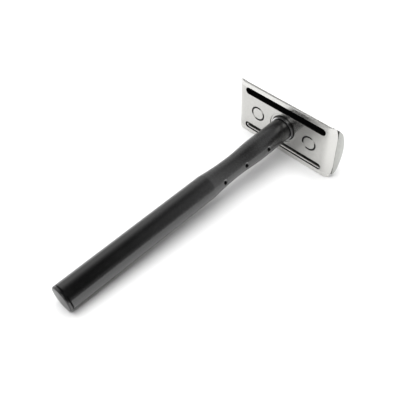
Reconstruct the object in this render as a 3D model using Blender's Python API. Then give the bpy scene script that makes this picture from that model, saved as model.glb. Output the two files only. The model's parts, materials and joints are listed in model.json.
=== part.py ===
"""Three-piece double-edge safety razor, lying on a flat surface.

The razor is designed upright in its own frame: Z runs along the handle from the butt to the head,
X along the head's long side and Y across it.  Every piece is a child of one empty that lays the
razor down on its butt and on the lower guard bar of its head.  Lengths are metres.
"""

import math

import bmesh
import bpy
from mathutils import Matrix, Vector

MM = 0.001

# Handle, from the butt upwards
HANDLE_LENGTH = 103.83 * MM      # butt to the underside of the base plate
GRIP_RADIUS = 4.70 * MM
WAIST_RADIUS = 3.98 * MM
NECK_RADIUS = 4.50 * MM
GRIP_TOP = 62.5 * MM
WAIST_HEIGHT = 76.0 * MM
NECK_START = 88.5 * MM
HANDLE_BOTTOM = 1.25 * MM
HANDLE_TOP = HANDLE_LENGTH - 0.80 * MM
EDGE_CHAMFER = 0.40 * MM
NECK_CHAMFER = 0.25 * MM
GROOVE_CHAMFER = 0.15 * MM       # both lips of the groove between the handle and its end cap
TAPER_POWER = 2.2
DIMPLE_HEIGHTS = (68.0 * MM, 79.3 * MM, 90.9 * MM)
DIMPLE_RADIUS = 0.85 * MM
DIMPLE_DEPTH = 0.55 * MM
DIMPLE_ANGLE = math.radians(13.0)

# End cap and its spigot
CAP_DISC_TOP = 1.05 * MM
CAP_DISC_STEP = 0.30 * MM
SPIGOT_RADIUS = 2.50 * MM
SPIGOT_LENGTH = 9.0 * MM
SPIGOT_BORE = 10.25 * MM         # height of the blind bore's end

# Insert, neck ring and stud
INSERT_RADIUS = 3.30 * MM
INSERT_BORE = HANDLE_TOP - 13.0 * MM
STUD_RADIUS = 2.50 * MM
STUD_REACH = 9.5 * MM            # below the underside of the base plate
STUD_CHAMFER = 0.4 * MM
RING_RADIUS = 5.15 * MM
RING_FLARE = 0.35 * MM
RING_FLARE_HEIGHT = 0.25 * MM
SEAT_RADIUS = 6.20 * MM
SEAT_DEPTH = 0.30 * MM

# Head; heights are above the underside of the base plate
HEAD_HALF_LENGTH = 23.8 * MM
END_ROUND = 4.2 * MM
END_START = -84.0                # degrees; the quarter round starts just off the flat underside
PLATE_HALF_WIDTH = 12.2 * MM
PLATE_INSET = 0.28 * MM          # the plate's round ends sit this far inside the cap's
SLOT_HALF_LENGTH = 18.96 * MM
SLOT_INNER = 7.10 * MM
SLOT_OUTER = 10.05 * MM
BAR_HEIGHT = 0.60 * MM           # guard bar at the slot's outer edge
BAR_RISE = 0.50 * MM             # from there to its crest
BAR_CREST = 11.6 * MM
BAR_SHOULDER = 12.0 * MM
BAR_DROP = 0.12 * MM             # from the crest to the shoulder
BAR_EDGE = ((12.2 * MM, 0.65 * MM), (12.2 * MM, 0.45 * MM), (12.07 * MM, 0.13 * MM), (11.75 * MM, 0.0))
BED_STATIONS = (2.4 * MM, 4.8 * MM, 7.1 * MM, 7.3 * MM, 8.6 * MM, 10.05 * MM)
TAB_SLOPE = 0.15
SHOULDER_START = 6.0 * MM        # the plate's ends fall away beyond this distance from the middle
SHOULDER_FALL = 22.0             # per square metre
POST_SPACING = 12.5 * MM
POST_RADIUS = 2.74 * MM
POST_BOTTOM = 0.02 * MM
POST_TOP = 4.6 * MM
POST_CHAMFER = 0.2 * MM
SEAM_HEIGHT = 2.0 * MM
WALL_INNER = 21.75 * MM          # where the cap's end walls begin
CAP_APEX = 6.10 * MM
DOME_RADIUS = 17.1 * MM
CAP_EDGE = 10.2 * MM
CAP_EAR = 10.9 * MM
CAP_LIP = 0.12 * MM
EAR_START = 19.3 * MM
EAR_END = 20.3 * MM
STUD_TOP = 5.2 * MM

# Blade, a thin sheet bent to a parabola
BLADE_CREST = 2.95 * MM
BLADE_SAG = 11.47                # fall per square metre of distance from the middle line
BLADE_THICKNESS = 0.10 * MM
BLADE_EDGE = 10.88 * MM
BLADE_HALF_LENGTH = 21.5 * MM
BLADE_TAB = 9.3 * MM
BLADE_TIP = 0.01 * MM            # half the thickness left at the edge
HONED_HALF_LENGTH = 18.9 * MM
HONED_WIDTH = 0.45 * MM
BLADE_SLOT_HALF_LENGTH = 16.6 * MM
BLADE_SLOT_HALF_WIDTH = 1.1 * MM
BLADE_MIDDLE_HOLE = 3.1 * MM

FIT = 0.05 * MM                  # gap between pieces that only touch
SIDES = 48
FAR = 26.0 * MM                  # past every surface of the head, for cutters
END_CUTTER_REACH = 20.0 * MM


def clear_scene():
    for obj in list(bpy.data.objects):
        bpy.data.objects.remove(obj, do_unlink=True)


def material(name, color, metallic, roughness):
    mat = bpy.data.materials.new(name)
    mat.use_nodes = True
    shader = mat.node_tree.nodes["Principled BSDF"]
    shader.inputs["Base Color"].default_value = (*color, 1.0)
    shader.inputs["Metallic"].default_value = metallic
    shader.inputs["Roughness"].default_value = roughness
    return mat


def laying_empty():
    """The empty that lays the upright razor down, resting on its butt and its guard bar."""
    bar_low = BAR_EDGE[1][1]
    run = HANDLE_LENGTH + bar_low - EDGE_CHAMFER
    tilt = math.atan2(PLATE_HALF_WIDTH - GRIP_RADIUS, run)
    up = Vector((0.0, math.cos(tilt), math.sin(tilt)))
    across = Vector((0.0, math.sin(tilt), -math.cos(tilt)))
    rotation = Matrix((Vector((1.0, 0.0, 0.0)), across, up)).transposed()
    butt_height = GRIP_RADIUS * math.cos(tilt) - EDGE_CHAMFER * math.sin(tilt)
    # the two ends of the razor along Y: the butt's upper edge and the dome's outermost line
    lowest = min(
        (EDGE_CHAMFER * up - GRIP_RADIUS * across).y,
        (-(GRIP_RADIUS - EDGE_CHAMFER) * across).y,
    )
    dome_centre = (HANDLE_LENGTH + CAP_APEX - DOME_RADIUS) * up
    highest = dome_centre.y + DOME_RADIUS
    empty = bpy.data.objects.new("Razor_frame", None)
    empty.matrix_world = (
        Matrix.Translation((0.0, -(lowest + highest) / 2.0, butt_height)) @ rotation.to_4x4()
    )
    bpy.context.collection.objects.link(empty)
    return empty


def add_object(name, mesh, mat, parent, smooth_angle=35.0):
    obj = bpy.data.objects.new(name, mesh)
    bpy.context.collection.objects.link(obj)
    if mat is not None:
        mesh.materials.append(mat)
        mesh.shade_smooth()
        mesh.set_sharp_from_angle(angle=math.radians(smooth_angle))
    obj.parent = parent
    return obj


def mesh_from(bm, name):
    bmesh.ops.recalc_face_normals(bm, faces=bm.faces)
    mesh = bpy.data.meshes.new(name)
    bm.to_mesh(mesh)
    bm.free()
    return mesh


def turned(name, profile, sides=SIDES):
    """A closed outline of (radius, height) points turned round Z; radius 0 points lie on the axis."""
    bm = bmesh.new()
    rings = []
    for radius, height in profile:
        if radius <= 0.0:
            rings.append([bm.verts.new((0.0, 0.0, height))])
            continue
        ring = []
        for step in range(sides):
            angle = 2.0 * math.pi * step / sides
            ring.append(bm.verts.new((radius * math.cos(angle), radius * math.sin(angle), height)))
        rings.append(ring)
    pairs = list(zip(rings, rings[1:]))
    if len(rings[0]) > 1 and len(rings[-1]) > 1:
        pairs.append((rings[-1], rings[0]))
    for low, high in pairs:
        for step in range(sides):
            after = (step + 1) % sides
            if len(low) == 1 and len(high) == 1:
                continue
            if len(low) == 1:
                bm.faces.new((low[0], high[step], high[after]))
            elif len(high) == 1:
                bm.faces.new((low[step], low[after], high[0]))
            else:
                bm.faces.new((low[step], low[after], high[after], high[step]))
    return mesh_from(bm, name)


def lofted(name, stations, section):
    """Joins the closed (y, z) outlines that section(x) gives at each x station, with flat ends."""
    bm = bmesh.new()
    loops = []
    for x in stations:
        loops.append([bm.verts.new((x, y, z)) for y, z in section(x)])
    count = len(loops[0])
    for left, right in zip(loops, loops[1:]):
        for step in range(count):
            after = (step + 1) % count
            bm.faces.new((left[step], left[after], right[after], right[step]))
    bm.faces.new(loops[0])
    bm.faces.new(loops[-1])
    bmesh.ops.triangulate(bm, faces=[face for face in bm.faces if len(face.verts) > 4])
    return mesh_from(bm, name)


def prism(name, outline, low, high, axis="Z"):
    """A flat outline pushed from low to high along Z, or along Y for an outline of (x, z) points."""
    bm = bmesh.new()
    rings = []
    for level in (low, high):
        if axis == "Z":
            rings.append([bm.verts.new((a, b, level)) for a, b in outline])
        else:
            rings.append([bm.verts.new((a, level, b)) for a, b in outline])
    count = len(outline)
    for step in range(count):
        after = (step + 1) % count
        bm.faces.new((rings[0][step], rings[0][after], rings[1][after], rings[1][step]))
    bm.faces.new(rings[0])
    bm.faces.new(rings[1])
    return mesh_from(bm, name)


def boolean(obj, cutter_mesh, operation="DIFFERENCE"):
    cutter = add_object(cutter_mesh.name, cutter_mesh, None, obj.parent)
    cutter.hide_render = True
    cutter.display_type = "WIRE"
    modifier = obj.modifiers.new(cutter_mesh.name, "BOOLEAN")
    modifier.operation = operation
    modifier.solver = "EXACT"
    modifier.object = cutter


def circle(radius, x=0.0, y=0.0, sides=SIDES):
    angles = [2.0 * math.pi * step / sides for step in range(sides)]
    return [(x + radius * math.cos(a), y + radius * math.sin(a)) for a in angles]


def arc(centre, radius, start, end, steps):
    """Points from the start angle to the end angle, in degrees."""
    points = []
    for step in range(steps + 1):
        angle = math.radians(start + (end - start) * step / steps)
        points.append((centre[0] + radius * math.cos(angle), centre[1] + radius * math.sin(angle)))
    return points


def smoothstep(value):
    value = min(max(value, 0.0), 1.0)
    return value * value * (3.0 - 2.0 * value)


# --- handle -------------------------------------------------------------------------------------

def handle_radius(height):
    """Straight grip, a quick taper to the waist, then a slow flare to the neck."""
    if height <= GRIP_TOP:
        return GRIP_RADIUS
    if height <= WAIST_HEIGHT:
        share = (height - GRIP_TOP) / (WAIST_HEIGHT - GRIP_TOP)
        return WAIST_RADIUS + (GRIP_RADIUS - WAIST_RADIUS) * (1.0 - share) ** TAPER_POWER
    share = (height - WAIST_HEIGHT) / (NECK_START - WAIST_HEIGHT)
    return WAIST_RADIUS + (NECK_RADIUS - WAIST_RADIUS) * smoothstep(share)


def build_handle(parent, mat):
    """One outline round both blind bores, for the spigot below and the insert above."""
    taper_steps = 18
    heights = [GRIP_TOP * 0.5, GRIP_TOP]
    for step in range(1, taper_steps + 1):
        heights.append(GRIP_TOP + (NECK_START - GRIP_TOP) * step / taper_steps)
    spigot_bore = SPIGOT_RADIUS + FIT
    insert_bore = INSERT_RADIUS + FIT
    profile = [
        (0.0, SPIGOT_BORE),
        (spigot_bore, SPIGOT_BORE),
        (spigot_bore, HANDLE_BOTTOM),
        (GRIP_RADIUS - GROOVE_CHAMFER, HANDLE_BOTTOM),
        (GRIP_RADIUS, HANDLE_BOTTOM + GROOVE_CHAMFER),
    ]
    profile += [(handle_radius(height), height) for height in heights]
    profile += [
        (NECK_RADIUS, HANDLE_TOP - NECK_CHAMFER),
        (NECK_RADIUS - NECK_CHAMFER, HANDLE_TOP),
        (insert_bore, HANDLE_TOP),
        (insert_bore, INSERT_BORE),
        (0.0, INSERT_BORE),
    ]
    handle = add_object("Handle", turned("Handle", profile), mat, parent)
    sphere_radius = (DIMPLE_RADIUS ** 2 + DIMPLE_DEPTH ** 2) / (2.0 * DIMPLE_DEPTH)
    for number, height in enumerate(DIMPLE_HEIGHTS):
        reach = handle_radius(height) + sphere_radius - DIMPLE_DEPTH
        bm = bmesh.new()
        bmesh.ops.create_uvsphere(bm, u_segments=16, v_segments=10, radius=sphere_radius)
        offset = (reach * math.cos(DIMPLE_ANGLE), -reach * math.sin(DIMPLE_ANGLE), height)
        bmesh.ops.translate(bm, verts=bm.verts, vec=offset)
        boolean(handle, mesh_from(bm, f"Dimple_cutter_{number + 1}"))


def build_end_cap(parent, mat):
    shoulder = CAP_DISC_TOP + GROOVE_CHAMFER
    profile = [
        (0.0, 0.0),
        (GRIP_RADIUS - EDGE_CHAMFER, 0.0),
        (GRIP_RADIUS, EDGE_CHAMFER),
        (GRIP_RADIUS, CAP_DISC_TOP),
        (GRIP_RADIUS - CAP_DISC_STEP, shoulder),
        (SPIGOT_RADIUS, shoulder),
        (SPIGOT_RADIUS, SPIGOT_LENGTH),
        (0.0, SPIGOT_LENGTH),
    ]
    add_object("Handle_end_cap", turned("Handle_end_cap", profile), mat, parent)


def build_insert(parent, mat):
    bottom = INSERT_BORE + FIT
    top = HANDLE_LENGTH + SEAT_DEPTH - FIT
    bore = STUD_RADIUS + FIT
    profile = [(bore, bottom), (INSERT_RADIUS, bottom), (INSERT_RADIUS, top), (bore, top)]
    add_object("Threaded_insert", turned("Threaded_insert", profile), mat, parent)


def build_neck_ring(parent, mat):
    bottom = HANDLE_TOP + FIT
    top = HANDLE_LENGTH + SEAT_DEPTH - FIT
    inner = INSERT_RADIUS + FIT
    profile = [
        (inner, bottom),
        (RING_RADIUS - RING_FLARE, bottom),
        (RING_RADIUS, bottom + RING_FLARE_HEIGHT),
        (RING_RADIUS, top),
        (inner, top),
    ]
    add_object("Neck_ring", turned("Neck_ring", profile), mat, parent)


# --- head ---------------------------------------------------------------------------------------

def blade_height(y):
    """Height of the blade's middle surface over the underside of the base plate."""
    return BLADE_CREST - BLADE_SAG * y * y


def at_head(mesh):
    """Head pieces are drawn from the underside of the base plate; this lifts them to their place."""
    mesh.transform(Matrix.Translation((0.0, 0.0, HANDLE_LENGTH)))
    return mesh


def round_end_outline(half_length, high):
    """(x, z) outline that is open below and has a quarter round up each end."""
    centre_x = HEAD_HALF_LENGTH - END_ROUND
    radius = half_length - centre_x
    right = [(centre_x, -FAR)] + arc((centre_x, radius), radius, END_START, 0.0, 10)
    left = [(-x, z) for x, z in reversed(right)]
    return right + [(half_length, high), (-half_length, high)] + left


def plate_top(x, y):
    """Height of the base plate's upper surface."""
    side = abs(y)
    bed = blade_height(side) - BLADE_THICKNESS / 2.0 - FIT
    if abs(x) > WALL_INNER - 2.0 * FIT:
        # under the cap's end wall; falls away towards the corners
        return SEAM_HEIGHT - FIT - SHOULDER_FALL * max(0.0, side - SHOULDER_START) ** 2
    if abs(x) <= HONED_HALF_LENGTH and side > SLOT_INNER:
        # the guard bar's inner face leans outwards under the blade's edge
        share = (side - SLOT_OUTER) / (BAR_CREST - SLOT_OUTER)
        return BAR_HEIGHT + BAR_RISE * max(0.0, share)
    if side > BLADE_TAB:
        bed -= (side - BLADE_TAB) * TAB_SLOPE
    return bed


def plate_section(x):
    """The bed that the blade lies on, and a rounded guard bar along each side."""
    right = [(y, plate_top(x, y)) for y in BED_STATIONS + (BAR_CREST,)]
    right.append((BAR_SHOULDER, right[-1][1] - BAR_DROP))
    right += BAR_EDGE
    left = [(-y, z) for y, z in reversed(right)]
    return [(0.0, plate_top(x, 0.0))] + right + left


def build_base_plate(parent, mat):
    wall = WALL_INNER - FIT
    right = [HONED_HALF_LENGTH, HONED_HALF_LENGTH + 0.5 * MM, wall - 2.0 * FIT, wall, FAR]
    stations = [-x for x in reversed(right)] + right
    mesh = at_head(lofted("Base_plate", stations, plate_section))
    plate = add_object("Base_plate", mesh, mat, parent)
    ends = round_end_outline(HEAD_HALF_LENGTH - PLATE_INSET, FAR)
    cutter = prism("Plate_ends", ends, -END_CUTTER_REACH, END_CUTTER_REACH, "Y")
    boolean(plate, at_head(cutter), "INTERSECT")
    middle = (SLOT_INNER + SLOT_OUTER) / 2.0
    radius = (SLOT_OUTER - SLOT_INNER) / 2.0
    reach = SLOT_HALF_LENGTH - radius
    cuts = []
    for name, side in (("Lather_slot_near", -1.0), ("Lather_slot_far", 1.0)):
        outline = arc((reach, side * middle), radius, -90.0, 90.0, 10)
        outline += arc((-reach, side * middle), radius, 90.0, 270.0, 10)
        cuts.append((name, outline, FAR))
    cuts.append(("Post_hole_left", circle(POST_RADIUS + FIT, -POST_SPACING), FAR))
    cuts.append(("Post_hole_right", circle(POST_RADIUS + FIT, POST_SPACING), FAR))
    cuts.append(("Stud_hole", circle(STUD_RADIUS + 2.0 * FIT), FAR))
    cuts.append(("Handle_seat", circle(SEAT_RADIUS), SEAT_DEPTH))
    for name, outline, top in cuts:
        boolean(plate, at_head(prism(name, outline, -FAR, top)))


def dome_height(y):
    return CAP_APEX - DOME_RADIUS + math.sqrt(DOME_RADIUS ** 2 - y * y)


def cap_section(x):
    """Dome on top; underneath it follows the blade, and the end walls come down to the seam."""
    spread = smoothstep((abs(x) - EAR_START) / (EAR_END - EAR_START))
    half = CAP_EDGE + (CAP_EAR - CAP_EDGE) * spread
    walled = abs(x) > WALL_INNER
    top_steps, under_steps = 8, 4
    top = []
    for step in range(top_steps + 1):
        y = half * math.sin(math.pi / 2.0 * step / top_steps)
        top.append((y, dome_height(y)))
    under = []
    for step in range(under_steps + 1):
        y = (half - CAP_LIP) * (1.0 - step / under_steps)
        clear = blade_height(y) + BLADE_THICKNESS / 2.0 + FIT
        under.append((y, SEAM_HEIGHT if walled else clear))
    right = top[1:] + under[:-1]
    left = [(-y, z) for y, z in reversed(right)]
    return [top[0]] + right + [under[-1]] + left


def build_cap(parent, mat):
    ears = [EAR_START, 19.6 * MM, 20.0 * MM, EAR_END]
    right = ears + [WALL_INNER, WALL_INNER + FIT, FAR]
    stations = [-x for x in reversed(right)] + right
    cap = add_object("Top_cap", at_head(lofted("Top_cap", stations, cap_section)), mat, parent)
    ends = round_end_outline(HEAD_HALF_LENGTH, FAR)
    cutter = prism("Cap_ends", ends, -END_CUTTER_REACH, END_CUTTER_REACH, "Y")
    boolean(cap, at_head(cutter), "INTERSECT")
    sockets = (
        ("Post_socket_left", circle(POST_RADIUS + FIT, -POST_SPACING), POST_TOP),
        ("Post_socket_right", circle(POST_RADIUS + FIT, POST_SPACING), POST_TOP),
        ("Stud_socket", circle(STUD_RADIUS + FIT), STUD_TOP),
    )
    for name, outline, top in sockets:
        boolean(cap, at_head(prism(name, outline, -FAR, top + FIT)))


def build_stud(parent, mat):
    profile = [
        (0.0, -STUD_REACH),
        (STUD_RADIUS - STUD_CHAMFER, -STUD_REACH),
        (STUD_RADIUS, STUD_CHAMFER - STUD_REACH),
        (STUD_RADIUS, STUD_TOP),
        (0.0, STUD_TOP),
    ]
    add_object("Threaded_stud", at_head(turned("Threaded_stud", profile)), mat, parent)


def build_posts(parent, mat):
    profile = [
        (0.0, POST_BOTTOM),
        (POST_RADIUS - POST_CHAMFER, POST_BOTTOM),
        (POST_RADIUS, POST_BOTTOM + POST_CHAMFER),
        (POST_RADIUS, POST_TOP),
        (0.0, POST_TOP),
    ]
    for name, x in (("Guide_post_left", -POST_SPACING), ("Guide_post_right", POST_SPACING)):
        mesh = at_head(turned(name, profile))
        mesh.transform(Matrix.Translation((x, 0.0, 0.0)))
        add_object(name, mesh, mat, parent)


def blade_section(x):
    """A sheet of even thickness that tapers to the honed edge on both sides."""
    steps = 6
    flat = [(BLADE_EDGE - HONED_WIDTH) * step / steps for step in range(steps + 1)]
    half = [(y, BLADE_THICKNESS / 2.0) for y in flat] + [(BLADE_EDGE, BLADE_TIP)]
    upper = [(y, blade_height(y) + thick) for y, thick in half]
    lower = [(y, blade_height(y) - thick) for y, thick in half]
    top = [(-y, z) for y, z in reversed(upper[1:])] + upper
    bottom = list(reversed(lower)) + [(-y, z) for y, z in lower[1:]]
    return top + bottom


def build_blade(parent, mat):
    stations = (-BLADE_HALF_LENGTH, BLADE_HALF_LENGTH)
    blade = add_object("Blade", at_head(lofted("Blade", stations, blade_section)), mat, parent)
    cuts = []
    for end_name, end in (("left", -1.0), ("right", 1.0)):
        for side_name, side in (("near", -1.0), ("far", 1.0)):
            inner_x, outer_x = end * HONED_HALF_LENGTH, end * FAR
            inner_y, outer_y = side * BLADE_TAB, side * FAR
            corner = [(inner_x, inner_y), (outer_x, inner_y), (outer_x, outer_y), (inner_x, outer_y)]
            cuts.append((f"Corner_{end_name}_{side_name}", corner))
    reach = BLADE_SLOT_HALF_LENGTH - BLADE_SLOT_HALF_WIDTH
    slot = arc((reach, 0.0), BLADE_SLOT_HALF_WIDTH, -90.0, 90.0, 6)
    slot += arc((-reach, 0.0), BLADE_SLOT_HALF_WIDTH, 90.0, 270.0, 6)
    cuts.append(("Blade_slot", slot))
    post_hole = POST_RADIUS + 2.0 * FIT
    cuts.append(("Blade_hole_left", circle(post_hole, -POST_SPACING, sides=36)))
    cuts.append(("Blade_hole_right", circle(post_hole, POST_SPACING, sides=36)))
    cuts.append(("Blade_hole_middle", circle(BLADE_MIDDLE_HOLE, sides=36)))
    for name, outline in cuts:
        boolean(blade, at_head(prism(name, outline, -FAR, FAR)))


def main():
    clear_scene()
    steel = material("Polished_steel", (0.62, 0.61, 0.58), 1.0, 0.22)
    black = material("Black_anodised", (0.035, 0.036, 0.038), 0.6, 0.42)
    blade_steel = material("Blade_steel", (0.70, 0.70, 0.70), 1.0, 0.15)
    brass = material("Brass", (0.72, 0.55, 0.27), 1.0, 0.30)
    frame = laying_empty()
    build_handle(frame, black)
    build_end_cap(frame, black)
    build_neck_ring(frame, black)
    build_insert(frame, brass)
    build_base_plate(frame, steel)
    build_cap(frame, steel)
    build_stud(frame, steel)
    build_posts(frame, steel)
    build_blade(frame, blade_steel)


main()
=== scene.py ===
"""Safety razor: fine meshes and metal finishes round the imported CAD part, a pale studio and the camera.

Shapes are drawn in millimetres in the razor's own upright frame: z runs along the handle from the
butt to the head, x along the head's long side and y across it.  LAY puts that frame into the row
frame, where the razor lies on its butt and its guard bar.
"""

import json
import math

import bpy
from mathutils import Matrix, Vector
from mathutils.geometry import delaunay_2d_cdt


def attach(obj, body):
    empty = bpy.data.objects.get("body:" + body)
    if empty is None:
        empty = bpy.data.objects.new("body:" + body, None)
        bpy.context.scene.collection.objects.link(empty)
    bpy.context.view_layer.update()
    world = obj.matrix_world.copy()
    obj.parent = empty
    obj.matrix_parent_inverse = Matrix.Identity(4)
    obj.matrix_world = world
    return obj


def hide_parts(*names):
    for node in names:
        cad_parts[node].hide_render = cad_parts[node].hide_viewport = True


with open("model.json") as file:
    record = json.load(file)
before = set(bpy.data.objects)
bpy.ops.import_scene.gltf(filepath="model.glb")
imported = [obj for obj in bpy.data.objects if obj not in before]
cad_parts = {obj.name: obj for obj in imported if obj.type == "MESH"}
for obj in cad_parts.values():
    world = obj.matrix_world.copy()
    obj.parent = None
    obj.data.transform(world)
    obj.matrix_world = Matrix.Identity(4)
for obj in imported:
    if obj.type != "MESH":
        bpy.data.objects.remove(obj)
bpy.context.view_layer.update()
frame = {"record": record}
MM = 0.001

MOUNTS = {mount["name"]: mount for mount in frame["record"]["mounts"]}
BUTT = Vector(MOUNTS["butt_face"]["pos_m"])
UP = -Vector(MOUNTS["butt_face"]["axis"]).normalized()
SIDE = Vector((1.0, 0.0, 0.0))
LAY = Matrix.Translation(BUTT) @ Matrix((SIDE, UP.cross(SIDE), UP)).transposed().to_4x4()

# Handle. Its dimples are wider and deeper than in the CAD part, and its threads are cut, where the
# CAD part has plain cylinders.
HANDLE_LENGTH = 103.83
GRIP_RADIUS = 4.70
WAIST_RADIUS = 3.98
NECK_RADIUS = 4.50
GRIP_TOP = 62.5
WAIST_HEIGHT = 76.0
TAPER_POWER = 2.2
NECK_START = 88.5
HANDLE_BOTTOM = 1.25
HANDLE_TOP = HANDLE_LENGTH - 0.80
DIMPLE_HEIGHTS = (68.0, 79.3, 90.9)
DIMPLE_RADIUS = 1.12
DIMPLE_SINK = 0.32
DIMPLE_HOLE = 0.62
DIMPLE_DEPTH = 0.62
DIMPLE_ANGLE = math.radians(-13.0)
SPIGOT_RADIUS = 2.50
SPIGOT_BORE = 10.25
CAP_DISC_TOP = 1.05
INSERT_RADIUS = 3.30
INSERT_BORE = HANDLE_TOP - 13.0
RING_RADIUS = 5.15
GROOVE_WIDTH = 0.45
GROOVE_RADIUS = 4.12
PITCH = 0.80
THREAD_CREST = 2.50
THREAD_DEPTH = 0.40

# Head; heights over the underside of the base plate
HEAD = HANDLE_LENGTH
END_CENTRE = 19.6
CAP_ROUND = 4.2
PLATE_ROUND = 4.12
PLATE_HALF_WIDTH = 12.2
SLOT_HALF_LENGTH = 18.96
SLOT_INNER = 7.10
SLOT_OUTER = 10.05
POST_X = 12.5
POST_RADIUS = 2.74
POST_HOLE = 2.79
SEAT_RADIUS = 6.20
SEAT_DEPTH = 0.30
STUD_HOLE = 2.60
SEAM_HEIGHT = 2.0
WALL_INNER = 21.75
CAP_APEX = 6.10
DOME_RADIUS = 17.1
CAP_EDGE = 10.2
CAP_EAR = 10.9
EAR_START = 19.3
EAR_END = 20.3
STUD_TOP = 5.2
POST_TOP = 4.6
BLADE_CREST = 2.95
BLADE_SAG = 0.01147
BLADE_HALF = 0.05
BLADE_EDGE = 10.88
BLADE_HALF_LENGTH = 21.5
BLADE_TAB = 9.3
HONED_HALF_LENGTH = 18.9
HONED_WIDTH = 0.36
HONED_HALF = 0.006          # half the thickness left at the honed edge
FIT = 0.05
SHOULDER_START = 6.0
SHOULDER_FALL = 0.022       # per millimetre
SHELF_TIP = 0.5
WALL_STEP = (WALL_INNER - 0.15, WALL_INNER - 0.05)
STEP = 0.004                # width of a wall that is nearly upright

# Rounded rims
SLOT_RIM = 0.07
HOLE_RIM = 0.30
SEAT_RIM = 0.14
TOP_RIM = 0.08
END_RIM = 0.14
LIP_RIM = 0.16

# Guard bar: higher than in the CAD part and slightly crowned
BAR_CENTRE = (11.65, 0.55)
BAR_RADIUS = 0.55
BAR_HEIGHT = 0.72
BAR_SLOPE = 0.2467
BAR_TANGENT = 11.477
BAR_FOOT = 0.45
BAR_FOOT_START = PLATE_HALF_WIDTH - BAR_FOOT
BAR_CROWN = 0.07
BAR_MIDDLE = 10.95
BAR_HALF = 0.95
CROWN_END = 17.0

# Mesh settings
SHARP_ANGLE = math.radians(38.0)
WALL_SMOOTH_ANGLE = math.radians(32.0)
DIMPLE_ROWS = 18            # rows and columns of the fine grid on each side of a dimple
DIMPLE_ROW_STEP = 0.065
DIMPLE_TURN_STEP = 0.0165

# Finishes
HEAD_STEEL = (0.53, 0.525, 0.507)
CAP_STEEL = (0.42, 0.425, 0.407)
STUD_STEEL = (0.56, 0.555, 0.545)
# Blade steel darkened as painted shade, for the dark seen through the slots
BLADE_SHADE_STEEL = (0.17, 0.17, 0.17)
# Near white for the honed edges: polished steel with a painted highlight
HONED_HIGHLIGHT = (0.96, 0.96, 0.95)
BRASS = (0.72, 0.53, 0.25)
# Brighter steel: polish worn on the guard bars, and a painted highlight on one rounded end
POLISH_AND_HIGHLIGHT = (0.66, 0.655, 0.635)
# Painted shade for the joints round the guide posts and the gap round the collar
GAP_SHADE = (0.004, 0.004, 0.004)
# Painted shade for the walls inside the slots
SLOT_SHADE = (0.009, 0.009, 0.009)
BLACK = (0.0022, 0.0022, 0.0023)
# Painted highlight on the upper side of each dimple
DIMPLE_HIGHLIGHT = (0.14, 0.14, 0.14)
BARE_METAL = (0.80, 0.80, 0.80)
FACED_METAL = (0.075, 0.075, 0.076)
EDGE_TINT = (0.63, 0.63, 0.63)
WHITE = (1.0, 1.0, 1.0)
PAPER = (0.80, 0.80, 0.80)
JOINT_RADIUS = 2.82
JOINT_WIDTH = 0.28
JOINT_ROUGH = 0.25
BAR_ROUGH = 0.05
LAND_RADIUS = 4.74
DULL_RIM = (0.62, 0.86)     # where the handle's outline starts to lose its shine, and is dull
DULL_RIM_MOST = 0.92
GRIP_POLISH = 0.09          # how much smoother the butt end is than the rest
GRIP_POLISH_END = 60.0

# Studio; every direction is from the razor
KEY_RADIANCE = 4.2
KEY_REACH = 0.66
KEY_WAY = (-0.08, -0.14, 0.98)
FRONT_RADIANCE = 4.5
FRONT_REACH = 0.30
FRONT_WAY = (0.24, -0.58, 0.77)
DARK_PLACE = (0.46, -0.10, 0.88)
DARK_ANGLES = (26.0, 82.0)
DARK_RADIANCE = 0.02
WALL_RADIANCE = 0.80
BACK_PLACE = (0.30, 0.85, 0.45)
BACK_ANGLES = (8.0, 50.0)
BACK_RADIANCE = 0.70
FLOOR_HALF = 3.0
CAMERA_PLACE = (0.09607, -0.09135, 0.14688)
CAMERA_FORWARD = (-0.48932, 0.48763, -0.72306)
CAMERA_RIGHT = (0.70322, 0.71095, 0.00349)


# --- numbers -----------------------------------------------------------------------------------

def smoothstep(low, high, value):
    share = min(max((value - low) / (high - low), 0.0), 1.0)
    return share * share * (3.0 - 2.0 * share)


def rim(distance, radius):
    """How far a rounded edge falls back, at this distance inside the edge."""
    if distance >= radius:
        return 0.0
    reach = radius - max(distance, 0.0)
    return radius - math.sqrt(max(radius * radius - reach * reach, 0.0))


def bisect(function, low, high, steps=40):
    """Where the function turns from false to true."""
    for _ in range(steps):
        middle = (low + high) / 2.0
        if function(middle):
            high = middle
        else:
            low = middle
    return (low + high) / 2.0


def arc(cx, cy, radius, start, end, steps):
    points = []
    for step in range(steps + 1):
        angle = math.radians(start + (end - start) * step / steps)
        points.append((cx + radius * math.cos(angle), cy + radius * math.sin(angle)))
    return points


def circle(radius, cx=0.0, cy=0.0, steps=96):
    return arc(cx, cy, radius, 0.0, 360.0, steps)[:-1]


def stadium(half_length, inner, outer, side, grow=0.0, steps=20):
    """A slot with round ends, between the distances inner and outer from the middle line."""
    radius = (outer - inner) / 2.0
    middle = side * (inner + outer) / 2.0
    reach = half_length - radius
    loop = arc(reach, middle, radius + grow, -90.0, 90.0, steps)
    return loop + arc(-reach, middle, radius + grow, 90.0, 270.0, steps)


def stadium_distance(x, y, half_length, inner, outer, side):
    radius = (outer - inner) / 2.0
    reach = half_length - radius
    dx = max(abs(x) - reach, 0.0)
    return math.hypot(dx, y - side * (inner + outer) / 2.0) - radius


# --- meshes ------------------------------------------------------------------------------------

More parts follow.
